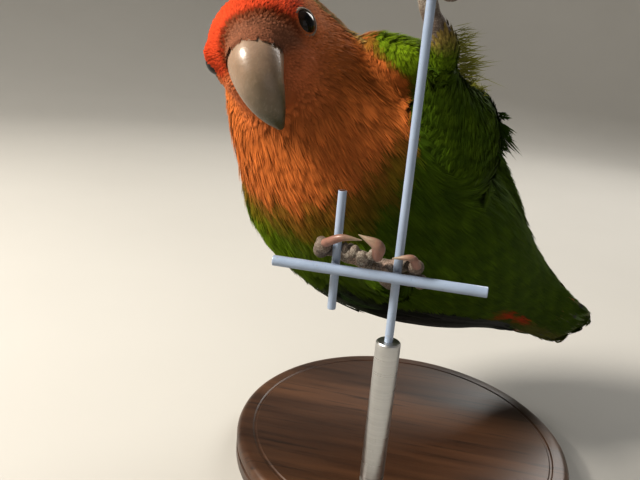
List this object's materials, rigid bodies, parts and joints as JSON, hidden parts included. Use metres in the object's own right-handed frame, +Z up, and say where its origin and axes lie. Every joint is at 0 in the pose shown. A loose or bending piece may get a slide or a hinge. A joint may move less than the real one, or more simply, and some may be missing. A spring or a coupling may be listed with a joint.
{
  "type": "perched small parrot figure",
  "caption": "Life-size peach-faced lovebird, a still model gripping a cut piece of welded wire grid, held by a plain rod on a round base.",
  "frame": {"origin": "centre of the round base's underside, on the floor", "axes": "+Z up; -Y is the side that the bird's belly and face turn to; the head is towards -X and the tail towards +X"},
  "size_m": [0.101, 0.0908, 0.124],
  "materials": {
    "peach": "feathers",
    "green": "feathers",
    "dark_green": "flight feathers",
    "tail_green": "tail feathers",
    "horn": "satin horn",
    "eye": "wet gloss",
    "scaly_skin": "dry scales",
    "claw": "satin horn",
    "coated_wire": "gloss coating",
    "steel": "satin",
    "dark_wood": "satin varnish"
  },
  "bodies": {
    "root": {"head": "peach", "neck": "peach", "trunk": "green", "tail": "tail_green", "wing_left": "green", "wing_right": "green", "primaries_left": "dark_green", "primaries_right": "dark_green", "thigh_left": "green", "thigh_right": "green", "shank_left": "scaly_skin", "shank_right": "scaly_skin", "foot_left": "scaly_skin", "foot_right": "scaly_skin", "claw_left_1": "claw", "claw_left_2": "claw", "claw_left_3": "claw", "claw_left_4": "claw", "claw_right_1": "claw", "claw_right_2": "claw", "claw_right_3": "claw", "claw_right_4": "claw", "bill_upper": "horn", "bill_lower": "horn", "eye_left": "eye", "eye_right": "eye", "perch_cross_wire": "coated_wire", "perch_upright_wire": "coated_wire", "perch_stub_wire": "coated_wire", "stand_base": "dark_wood", "stand_rod": "steel"}
  },
  "joints": []
}
